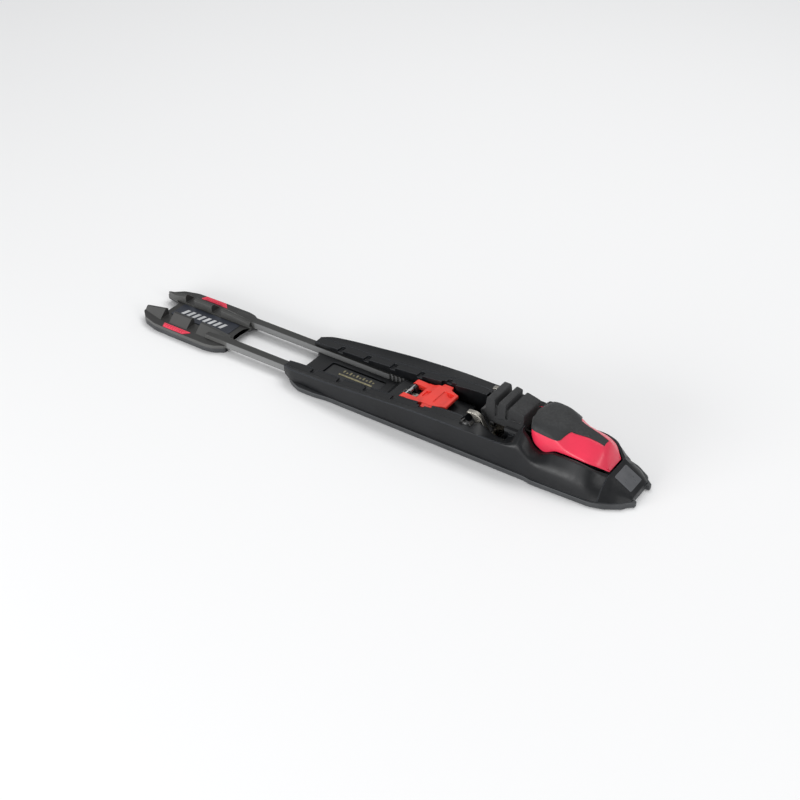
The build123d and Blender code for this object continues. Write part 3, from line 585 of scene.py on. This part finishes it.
def front_housing():
    """The long shell: rails with V-shaped tops, bay for the lever, nose, deck and inner lugs."""
    piece = body_of_rows("housing_shell", [(row[0], rail_section(*row[1:])) for row in RAIL_ROWS])
    nose = body_of_rows("tool", [
        (x, [(foot, BASE_TOP), (crest_y, crest_z - 0.4), (crest_y - 0.5, crest_z), (edge_y, edge_z)])
        for x, foot, crest_y, crest_z, edge_y, edge_z in NOSE_ROWS])
    arm_in, arm_out, arm_top = ARM_IN - ARM_GAP, ARM_OUT + ARM_GAP, ARM_HIGH + ARM_GAP
    channel_front = -8.5
    pit_low, pit_high = cad("size_scale")
    pit_rear, pit_front = pit_low[0] - 0.5, pit_high[0] + 0.5
    root = BASE_TOP + BITE
    deck = slab([(-58, root), (-52, DECK_Z), (-7, DECK_Z), (-5, FLOOR_Z), (-5, root)], -arm_in, arm_in)
    combine(piece, "UNION", [nose])
    combine(piece, "DIFFERENCE", [
        block(REAR_X - 1, channel_front, side * arm_in, side * arm_out, BASE_TOP - 1, arm_top)
        for side in (-1, 1)])
    lever_lug = [(LEVER_X - 3.2, root), (LEVER_X - 3.2, LEVER_Z + 1), (LEVER_X - 1.8, LEVER_Z + 2.8),
                 (LEVER_X + 1.8, LEVER_Z + 2.8), (LEVER_X + 3.2, LEVER_Z + 1), (LEVER_X + 8, root)]
    lock_lug = [(LOCK_X - 3.4, DECK_Z - 1), (LOCK_X - 1.8, LOCK_Z + 1.2), (LOCK_X + 1.8, LOCK_Z + 1.2),
                (LOCK_X + 3.4, DECK_Z - 1)]
    lugs = []
    for side in (-1, 1):
        lugs += [
            block(22.5, FLEXOR_FRONT_X, side * 7.4, side * (RAIL_IN + 0.3), root, 17.5),
            slab(lever_lug, side * 6.6, side * 9.6),
            slab(lock_lug, side * 2.0, side * 4.8),
        ]
    combine(piece, "UNION", [deck, *lugs])
    cuts = [
        prism("tool", plate_plan((pit_rear, -6.4), (pit_front, 6.4), 1.2), "z", BASE_TOP - 1, DECK_Z),
        prism("tool", WINDOW, "z", BASE_TOP - 1, 14),
        block(JAW_X - 5, JAW_X + 5, -RAIL_IN + BITE, RAIL_IN - BITE, BASE_TOP - 1, FLOOR_Z + 0.05),
    ]
    for side in (-1, 1):
        for index in range(NOTCH_COUNT):
            x = REAR_X + NOTCH_FIRST + NOTCH_PITCH * index
            z = strip_height(x) - NOTCH_DEPTH
            plan = soften([(x - 1.7, side * 10), (x + 1.7, side * 10), (x + 1.3, side * 15.6),
                           (x - 1.3, side * 15.6)], 0.5)
            cuts.append(prism("tool", plan, "z", z, z + 8))
        cuts += [
            block(-29.5, -20.5, side * 10, side * 13.2, DECK_Z + 1.6, 22),
            block(-1.0, 25.4, side * 10.75, side * 14.65, BASE_TOP - 1, 32),
            block(SEAT_LOW[0], SEAT_HIGH[0], side * 14.6, side * 18.05, FLOOR_Z, 32),
            disc(JAW_X, JAW_Z, PIN_R, side * 10, side * 18.1),
            disc(LEVER_X, LEVER_Z, PIN_R, side * 6, side * 10),
            disc(LOCK_X, LOCK_Z, SMALL_PIN_R, side * 1.5, side * 5.5),
        ]
    combine(piece, "DIFFERENCE", cuts)
    return dress(piece, ["front_housing"], HOUSING, 0.28, 2)


# ---------------------------------------------------------------- lever and its soft cover
# Each row: x, bottom width and height, side width and height, top width and height
LEVER_ROWS = [
    (LEVER_X - DOME_L, 5.0, 23.8, 5.4, 27.4, 3.6, 28.6),
    (LEVER_X - DOME_L + 0.9, 7.6, 23.0, 8.0, 27.6, 6.0, 29.2),
    (LEVER_X - 12.2, 11.6, 21.4, 12.0, 27.2, 9.4, 29.8),
    (LEVER_X - 9.4, 12.8, 18.0, 13.0, 26.9, 9.8, 30.1),
    (LEVER_X - 4.0, 12.9, 15.4, 13.0, 26.3, 9.4, 30.2),
    (LEVER_X + 3.0, 12.9, 18.5, 13.0, 23.8, 7.0, 29.4),
    (LEVER_X + 8.0, 12.8, 18.6, 12.9, 20.8, 4.6, 27.9),
    (LEVER_X + 18.0, 12.4, 18.0, 12.6, 19.0, 3.8, 26.2),
    (LEVER_X + 24.0, 10.6, 16.6, 10.8, 17.6, 3.4, 24.2),
    (NOSE_X - 15.6, 6.2, 12.8, 6.4, 13.4, 5.0, 14.0),
]


def lever_section(low_y, low_z, side_y, side_z, top_y, top_z, grow=0.0):
    """Half a lever section with a rounded shoulder and a softly crowned top."""
    half = [
        (low_y + grow, low_z), (side_y + grow, (low_z * 0.35 + side_z * 0.65)),
        (side_y - 0.5 + grow, side_z + 0.6 + grow * 0.5),
        (top_y + 0.6 + grow * 0.5, top_z - 0.7 + grow),
        (top_y * 0.5, top_z + grow),
        (0.4, top_z + 0.1 + grow),
    ]
    return soften(half, [0, 1.2, 1.0, 2.0, 1.5, 0], 3, closed=False)


def link_slot(room=0.0):
    """The slot in the dome's rear that the links swing through, with extra room round it."""
    rear, low = LEVER_X - DOME_L - 2, 9
    half = 4.9 + room / 4
    return slab([(rear, low), (LEVER_X - 6, low), (LEVER_X - 6, LEVER_Z + 5.2),
                 (LEVER_X - 11, LEVER_Z + 6.4 + room), (rear, LEVER_Z + 7.4 + room)], -half, half)


def lever():
    """The red lever: a thin shell with a domed rear and a pointed front."""
    piece = body_of_rows("lever_shell", [(row[0], lever_section(*row[1:])) for row in LEVER_ROWS], 1.5)
    hollow = body_of_rows("tool", [
        (LEVER_X - 8.4, [(10.8, 9.0), (10.8, 24.2), (7.8, 27.2), (0.4, 27.5)]),
        (LEVER_X + 3.0, [(10.8, 9.0), (10.8, 23.3), (6.4, 26.8), (0.4, 27.0)]),
        (LEVER_X + 8.0, [(10.8, 9.0), (10.8, 19.3), (3.8, 25.0), (0.4, 25.3)]),
        (LEVER_X + 18.0, [(10.4, 9.0), (10.4, 17.4), (3.0, 23.4), (0.4, 23.6)]),
        (LEVER_X + 24.0, [(8.6, 9.0), (8.6, 15.6), (2.6, 21.0), (0.4, 21.2)]),
        (NOSE_X - 18.6, [(5.6, 9.0), (5.6, 12.6), (2.6, 14.2), (0.4, 14.3)]),
    ])
    combine(piece, "DIFFERENCE", [hollow])
    crank_lug = [(CRANK_X - 2.4, CRANK_Z + 0.4), (CRANK_X - 1.6, CRANK_Z - 1.8),
                 (CRANK_X + 1.6, CRANK_Z - 1.8), (LEVER_X + 2.8, LEVER_Z - 2),
                 (LEVER_X + 2.8, 28.2), (LEVER_X - 9.4, 28.2)]
    joins = []
    for side in (-1, 1):
        joins += [
            disc(LEVER_X, LEVER_Z, 3.3, side * 9.95, side * 11.4),
            slab(crank_lug, side * 4.9, side * 6.25),
        ]
    combine(piece, "UNION", joins)
    cuts = [link_slot(), block(LEVER_X - DOME_L - 1, LEVER_X - 6, -9.9, 9.9, 9, LEVER_Z + 1.6)]
    for side in (-1, 1):
        cuts += [
            disc(LEVER_X, LEVER_Z, PIN_R + FIT, side * 4.5, side * 11.6),
            disc(CRANK_X, CRANK_Z, SMALL_PIN_R, side * 4.5, side * 6.6),
        ]
    combine(piece, "DIFFERENCE", cuts)
    return dress(piece, ["lever"], LEVER_RED, 0.3, 3)


def lever_cover():
    """The soft grip: a skin over the dome, its edge sweeping up to a strip along the ridge."""
    grow = 0.55
    rows = [(row[0], lever_section(*row[1:], grow)) for row in LEVER_ROWS[:9]]
    rows[0] = (rows[0][0] - 0.35, rows[0][1])
    side = [
        (LEVER_X - 18, 26.4), (LEVER_X - 10, 26.0), (LEVER_X - 2, 25.2), (LEVER_X + 3.4, 24.9),
        (LEVER_X + 5.6, 26.4), (LEVER_X + 12, 25.2), (LEVER_X + 20, 23.2), (LEVER_X + 24.4, 21.6),
        (LEVER_X + 21.0, 34), (LEVER_X - 18, 34),
    ]
    piece = body_of_rows("lever_grip", rows, 1.5)
    combine(piece, "INTERSECT", [slab(soften(side, 1.0), -16, 16)])
    flanks = []
    for sign in (-1, 1):
        plan = soften([(LEVER_X + 4.2, sign * 15), (LEVER_X + 4.4, sign * 10), (LEVER_X + 6.6, sign * 5.4),
                       (LEVER_X + 15, sign * 3.4), (LEVER_X + 21, sign * 2.7), (LEVER_X + 24, sign * 2.5),
                       (LEVER_X + 26, sign * 15)], 0.6)
        flanks.append(prism("tool", plan, "z", 10, 40))
    inside = body_of_rows("tool", [(row[0], lever_section(*row[1:])) for row in LEVER_ROWS], 1.5)
    combine(piece, "DIFFERENCE", flanks)
    combine(piece, "DIFFERENCE", [inside, link_slot(1.2)])
    return dress(piece, ["lever_cover"], SOFT_TOUCH, 0.22, 3)


# ---------------------------------------------------------------- flexor
def flexor():
    """The rubber block: two leaning fins and a front block over one body, with a flared rear lip."""
    low, high = cad("flexor")
    half = high[1]
    base, top, front, rear = low[2], high[2], high[0], low[0]
    outline = [
        (rear + 0.1, base + 2.0), (rear + 1.6, base), (front, base), (front, top - 3.7),
        # front block
        (front - 1.2, top - 3.1), (front - 7.6, top - 1.6), (front - 8.6, top - 2.1),
        (front - 9.2, top - 4.4),
        # front fin
        (front - 10.2, top - 4.4), (front - 10.6, top - 0.9), (front - 14.0, top - 0.3),
        (front - 14.8, top - 0.9), (front - 15.4, top - 4.4),
        # rear fin and the lip under it
        (front - 16.8, top - 4.2), (front - 17.4, top - 0.5), (front - 18.0, top - 0.1),
        (front - 21.6, top - 0.1), (front - 22.1, top - 0.9), (rear + 3.6, base + 6.6),
        (rear + 2.4, base + 4.6), (rear + 0.1, base + 3.2),
    ]
    piece = prism("flexor_block", soften(outline, 0.55, 3), "y", -half, half)
    cuts = []
    for side in (-1, 1):
        for x, z, width in ((front - 9.9, base + 3.4, 1.6), (front - 16.1, base + 2.8, 1.8)):
            groove = soften([(x - width / 2, z), (x + width / 2, z), (x + width / 2, top + 2),
                             (x - width / 2, top + 2)], 0.5)
            cuts.append(slab(groove, side * (half - 1.0), side * (half + 1)))
        seam = soften([(front - 7.4, base + 4.2), (front - 1.2, base + 4.2), (front - 1.2, base + 5.0),
                       (front - 7.4, base + 5.0)], 0.3)
        cuts.append(slab(seam, side * (half - 0.4), side * (half + 1)))
        skirt = [(rear - 1, side * (half - 1.6)), (rear + 2.4, side * (half - 0.9)),
                 (rear + 4.6, side * half), (rear + 4.6, side * (half + 2)), (rear - 1, side * (half + 2))]
        cuts.append(prism("tool", skirt, "z", base - 1, base + 7.5))
    for x in (14.0, 27.0):
        cuts.append(block(x - 1.2, x + 1.2, -4, 4, base - 1, base + 3))
    combine(piece, "DIFFERENCE", cuts)
    return dress(piece, ["flexor"], FLEXOR, 0.3, 3)


# ---------------------------------------------------------------- boot jaw and bar seats
def boot_jaw():
    """The pressed steel jaw: two hooked claws, the hub and the tail for the links."""
    outer = cad("boot_jaw")[1][1]
    inner = outer - 3.0
    tail_w = 2.65
    pin_x, pin_z = [(a + b) / 2 for a, b in zip(*cad("jaw_pin"))][0::2]
    claw = soften([
        (JAW_X - 2.6, JAW_Z - 1.0), (JAW_X + 2.6, JAW_Z - 1.0), (JAW_X + 1.6, JAW_Z + 6.0),
        (BAR_X + 8.4, BAR_Z - 1.0), (BAR_X + 6.8, BAR_Z + 2.4), (BAR_X + 3.0, BAR_Z + 3.8),
        (BAR_X - 1.2, BAR_Z + 3.4), (BAR_X - 1.8, BAR_Z + 2.7), (BAR_X - 0.6, BAR_Z + 1.9),
        (BAR_X + 3.0, BAR_Z + 0.6), (BAR_X + 4.4, BAR_Z - 4.0), (JAW_X - 3.4, JAW_Z + 4.4)], 1.4, 5)
    piece = prism("jaw_plate", claw, "y", inner, outer)
    tail = prism("tool", [(JAW_X - 2.4, JAW_Z), (JAW_X + 2.4, JAW_Z), (pin_x + 2.2, pin_z + 0.6),
                          (pin_x - 2.2, pin_z - 0.6)], "y", -tail_w, tail_w)
    combine(piece, "UNION", [prism("tool", claw, "y", -outer, -inner)])
    combine(piece, "DIFFERENCE", [disc(BAR_X, BAR_Z, 2.4, -outer - 1, outer + 1, 64)])
    hub = disc(JAW_X, JAW_Z, PIN_R + 1.3, -outer, outer)
    eye = disc(pin_x, pin_z, SMALL_PIN_R + 1.1, -tail_w, tail_w)
    combine(piece, "UNION", [hub, tail, eye])
    combine(piece, "DIFFERENCE", [disc(JAW_X, JAW_Z, PIN_R + FIT, -outer - 1, outer + 1),
                                  disc(pin_x, pin_z, SMALL_PIN_R, -4, 4)])
    return dress(piece, ["boot_jaw"], STEEL, 0.3, 3)


# ---------------------------------------------------------------- lock clip
def lock_clip():
    """The red clip: two prongs with hinge eyes, a stepped body, side lugs and a finger tray."""
    low, high = cad("lock_clip")
    front, top = high[0], high[2]
    width = 9.4
    piece = prism("lock_latch", soften([
        (-35, DECK_Z + 0.8), (-35, LOCK_Z + 1.6), (-32.5, LOCK_Z + 1.9), (-29.4, top), (front - 0.4, top),
        (front, top - 0.4), (front, top - 2.0), (-22, DECK_Z + 0.8)], 0.5), "y", -width, width)
    plan = both([(-36, width), (-23, width), (front - 1.2, 6.8), (front + 1, 6.2)])
    combine(piece, "INTERSECT", [prism("tool", soften(plan, 0.8), "z", 0, 30)])
    prongs = []
    for side in (-1, 1):
        prongs += [
            slab([(LOCK_X, LOCK_Z - 1.7), (-34.5, DECK_Z + 0.8), (-34.0, LOCK_Z + 1.6),
                  (LOCK_X, LOCK_Z + 1.9)], side * 5.15, side * 9.2),
            disc(LOCK_X, LOCK_Z, 1.9, side * 5.15, side * 9.2),
            prism("tool", [(-28.6, -0.1), (-21.4, -0.1), (-22.2, 3.2), (-27.8, 3.2)],
                  "z", DECK_Z + 2.2, top - 0.5),
        ]
        lug = prongs[-1]
        lug.data.transform(Matrix.Diagonal((1, side, 1, 1)))
        lug.data.transform(Matrix.Translation((0, side * (width - 0.3) * MM, 0)))
        if side < 0:
            lug.data.flip_normals()
    combine(piece, "UNION", prongs)
    floor_of_tray = prism("tool", [(-24.0, top - 0.6), (-20.6, top - 2.2), (front - 1.9, top - 2.2),
                                   (front - 1.9, top + 1), (-24.0, top + 1)], "y", -5.8, 5.8)
    recess = block(-33.0, -29.8, -2.6, 2.6, top - 2.4, top + 1)
    cuts = [floor_of_tray, recess]
    for side in (-1, 1):
        cuts.append(disc(LOCK_X, LOCK_Z, SMALL_PIN_R + FIT, side * 5, side * 9.4))
    combine(piece, "DIFFERENCE", cuts)
    return dress(piece, ["lock_clip"], LOCK_RED, 0.3, 3)


# ---------------------------------------------------------------- heel plate
FLOOR_REAR_X = TAIL_X + 11.5
FLOOR_FRONT_X = TAIL_X + 62
LEDGE_Z = BASE_TOP + 2.0
HEEL_FLOOR_Z = BASE_TOP + 1.4
HEEL_OUTLINE = [
    (TAIL_X, 10.2), (TAIL_X + 0.4, 12.8), (TAIL_X + 6, 17.6), (TAIL_X + 15, 20.2), (TAIL_X + 30, 20.6),
    (TAIL_X + 54, 20.6), (TAIL_X + 59, 19.6), (TAIL_X + 65, 15.8),
]
REAR_NOTCH = both([(TAIL_X - 2, 9.6), (FLOOR_REAR_X - 3, 7.4), (FLOOR_REAR_X, 5.2)])
# Each ridge: from x, to x, then its top height at both ends above the heel floor, and its
# outer width at the first
RIDGES = [
    (TAIL_X + 0.6, TAIL_X + 15.5, 2.6, 5.4, 12.0),
    (TAIL_X + 22, TAIL_X + 35.5, 5.2, 5.2, 15.5),
    (TAIL_X + 42.5, TAIL_X + 64, 5.2, 3.2, 15.5),
]
# The rear end of the window between the arms
ARCH = both([(FLOOR_FRONT_X, 0.0), (FLOOR_FRONT_X + 0.2, 5.0), (FLOOR_FRONT_X + 4, 8.6),
             (FLOOR_FRONT_X + 11, 10.15), (ARM_FRONT_X + 5, 10.2)])
INSERT_X = TAIL_X + 30
INSERT_L = 20.0
INSERT_OUT = 20.0
INSERT_W = 3.6


def insert_plan(side, shrink=0.0):
    """The slanted plan of one insert, a shrink smaller all round than its pocket."""
    rear, front = INSERT_X - INSERT_L / 2 + shrink, INSERT_X + INSERT_L / 2 - shrink
    outer, inner = side * (INSERT_OUT - shrink), side * (INSERT_OUT - INSERT_W + shrink)
    return soften([(rear + 1.5, outer), (front - 3.5, outer), (front, inner), (rear, inner)], 0.4)


def heel_plate():
    """The sliding heel piece: ledges, faceted ridges, floor and the two long arms."""
    piece = prism("heel_shell", soften(both(HEEL_OUTLINE), 1.2), "z", BASE_TOP, LEDGE_Z)
    ridges = []
    for x0, x1, h0, h1, first_w in RIDGES:
        rows = [(x, [(w, BASE_TOP + 0.6), (w, LEDGE_Z - 0.2), (10.0, HEEL_FLOOR_Z + h),
                     (8.9, HEEL_FLOOR_Z + h + 0.05), (7.6, HEEL_FLOOR_Z + h - 0.8)])
                for x, h, w in ((x0, h0, first_w), (x1, h1, 15.5))]
        ridges.append(body_of_rows("tool", rows, 4))
    combine(piece, "UNION", ridges)
    combine(piece, "DIFFERENCE", [block(TAIL_X - 1, TAIL_X + 66, -7.6, 7.6, HEEL_FLOOR_Z, 30)])
    arms = []
    for side in (-1, 1):
        arms.append(block(TAIL_X + 50, ARM_FRONT_X, side * ARM_IN, side * ARM_OUT, ARM_LOW, ARM_HIGH))
        gusset = [(TAIL_X + 58, side * 9.0), (TAIL_X + 66, side * 10.0), (TAIL_X + 74, side * 10.3),
                  (TAIL_X + 74, side * 11.5), (TAIL_X + 58, side * 13)]
        arms.append(prism("tool", gusset, "z", ARM_LOW, ARM_HIGH))
    combine(piece, "UNION", arms)
    cuts = [prism("tool", REAR_NOTCH, "z", 0, 30)]
    cuts.append(prism("tool", soften(ARCH, 2.5, 5), "z", 0, 12))
    for side in (-1, 1):
        cuts.append(prism("tool", insert_plan(side), "z", LEDGE_Z - 0.8, LEDGE_Z + 3))
        for index in range(6):
            x = ARM_FRONT_X - 3 - index * 2.6
            cuts.append(block(x - 0.7, x + 0.7, side * 9.2, side * 11.1, ARM_LOW - 1, ARM_HIGH + 1))
    combine(piece, "DIFFERENCE", cuts)
    return dress(piece, ["heel_plate"], HEEL, 0.18, 2)


def heel_slider():
    """The foot under the heel plate, with the ski channel."""
    piece = prism("heel_foot", soften(both(HEEL_OUTLINE), 1.2), "z", 0, BASE_TOP)
    combine(piece, "DIFFERENCE", [
        prism("tool", soften(ARCH, 2.5, 5), "z", -1, 12),
        prism("tool", REAR_NOTCH, "z", -1, 30),
        *ski_channel(TAIL_X - 1, TAIL_X + 70),
    ])
    return dress(piece, ["heel_slider"], BASE, 0.35, 3)


def heel_insert(node, side):
    """One red rubber insert with raised ribs."""
    base = LEDGE_Z - 0.8
    piece = prism(node + "_pad", insert_plan(side, 0.05), "z", base, base + 1.2)
    ribs = []
    for index in range(9):
        x = INSERT_X - 7.6 + index * 1.75
        plan = soften([(x - 0.45, side * 17.1), (x + 0.45, side * 17.1), (x + 0.45, side * 19.3),
                       (x - 0.45, side * 19.3)], 0.3)
        ribs.append(prism("tool", plan, "z", base + 1.0, base + 1.6))
    combine(piece, "UNION", ribs)
    return dress(piece, [node], INSERT_RED, 0.12, 2)


def heel_label():
    """The dark panel on the heel floor, with plain slanted bars in place of lettering."""
    low, high = cad("heel_label")
    plan = plate_plan(low, high, 1.2)
    panel = dress(prism("heel_panel", plan, "z", low[2], high[2]), ["heel_label"], LABEL, 0.1)
    top = high[2]
    for index in range(8):
        x = low[0] + 5 + index * 4
        slant = [(x, -2.6), (x + 2.2, -2.6), (x + 3.6, 2.4), (x + 1.4, 2.4)]
        bar = prism("heel_bar_%d" % (index + 1), slant, "z", top - 0.02, top + 0.06)
        trim(bar, LABEL_MARK, "heel_label")
    return panel


# ---------------------------------------------------------------- small fixed pieces
def size_scale():
    """The setting scale: a bed plate, a gold line and rows of ticks beside it."""
    low, high = cad("size_scale")
    bed_top = low[2] + 0.6
    plan = plate_plan(low, high, 1.0)
    bed = dress(prism("scale_plate", plan, "z", low[2], bed_top), ["size_scale"], SCALE_BED, 0.1)
    line = block(low[0] + 8, high[0] - 5, -1.0, 0.2, bed_top - 0.02, bed_top + 0.18)
    line.name = "scale_line"
    trim(line, GOLD, "size_scale", 0.05)
    for index in range(10):
        x = low[0] + 9 + index * 2.2
        long_tick = index % 2 == 0
        tick = block(x, x + 0.9, 2.0, 3.2 + long_tick, bed_top - 0.02, bed_top + 0.12)
        tick.name = "scale_tick_%d" % (index + 1)
        trim(tick, GOLD, "size_scale")
    for index in range(5):
        x = low[0] + 15 + index * 3.0
        mark = block(x, x + 1.3, -4.6, -3.4, bed_top - 0.02, bed_top + 0.12)
        mark.name = "scale_mark_%d" % (index + 1)
        trim(mark, GOLD, "size_scale")
    return bed


# ---------------------------------------------------------------- camera, light and floor
VIEW_AZIMUTH, VIEW_ELEVATION = radians(34.2), radians(35.3)
TARGET_M = Vector((-48.76, 0, 1.61)) * MM
DISTANCE_M = 0.76076
GROUND_HALF = 3000


def camera():
    """The camera at the photograph's angle."""
    lens = bpy.data.cameras.new("camera")
    lens.lens = 63
    lens.sensor_width = 36
    lens.clip_start = 0.01
    lens.clip_end = 20
    eye = bpy.data.objects.new("camera", lens)
    bpy.context.scene.collection.objects.link(eye)
    back = Vector((sin(VIEW_AZIMUTH) * cos(VIEW_ELEVATION), -cos(VIEW_AZIMUTH) * cos(VIEW_ELEVATION),
                   sin(VIEW_ELEVATION)))
    eye.location = TARGET_M + back * DISTANCE_M
    eye.rotation_mode = "QUATERNION"
    eye.rotation_quaternion = (-back).to_track_quat("-Z", "Y")
    bpy.context.scene.camera = eye


def area_light(name, place, size, power, target):
    """A soft square light aimed at a target, both in metres."""
    data = bpy.data.lights.new(name, "AREA")
    data.shape = "RECTANGLE"
    data.size, data.size_y = size
    data.energy = power
    light = bpy.data.objects.new(name, data)
    bpy.context.scene.collection.objects.link(light)
    light.location = place
    light.rotation_mode = "QUATERNION"
    light.rotation_quaternion = (Vector(target) - Vector(place)).to_track_quat("-Z", "Y")


def studio():
    """A pale floor, an even pale surround and soft lights."""
    world = bpy.data.worlds.new("surround")
    bpy.context.scene.world = world
    world.use_nodes = True
    world.node_tree.nodes["Background"].inputs["Color"].default_value = (0.93, 0.94, 0.95, 1)
    world.node_tree.nodes["Background"].inputs["Strength"].default_value = 0.49
    ground_z = -0.3
    signs = ((-1, -1), (1, -1), (1, 1), (-1, 1))
    corners = [(x * GROUND_HALF, y * GROUND_HALF, ground_z) for x, y in signs]
    floor = mesh_piece("floor", corners, [(0, 1, 2, 3)])
    nodes = Nodes("pale_floor")
    nodes.link(nodes.blend(nodes.noise(400, 2), (0.95, 0.95, 0.952), (0.965, 0.965, 0.967)),
               nodes.shader.inputs["Base Color"])
    nodes.shader.inputs["Roughness"].default_value = 0.9
    floor.data.materials.append(nodes.material)
    centre = (-0.06, 0, 0.01)
    area_light("side_light", (-0.35, -1.0, 0.22), (1.0, 0.35), 9.0, centre)
    area_light("top_light", (0.0, 0.5, 1.1), (1.4, 0.5), 6.2, centre)
    area_light("nose_light", (1.0, -0.35, 0.5), (0.4, 0.4), 2.5, centre)
    bpy.context.scene.view_settings.view_transform = "Standard"


# ---------------------------------------------------------------- build
camera()
studio()
base_plate()
front_housing()
lever()
lever_cover()
flexor()
boot_jaw()
lock_clip()
heel_plate()
heel_slider()
for insert_node, insert_side in (("heel_insert_left", 1), ("heel_insert_right", -1)):
    heel_insert(insert_node, insert_side)
heel_label()
size_scale()
for node in ("lever_axle", "crank_pin", "jaw_axle", "jaw_pin", "lock_axle", "housing_screws", "heel_screw"):
    keep(node, PIN, 0.12)
for node in ("toggle_links", "lock_spring"):
    keep(node, STEEL, 0.2)
keep("bar_seats", SEAT, 0.3)
keep("flexor_carrier", CARRIER)
keep("nose_badge", BADGE, 0.2)
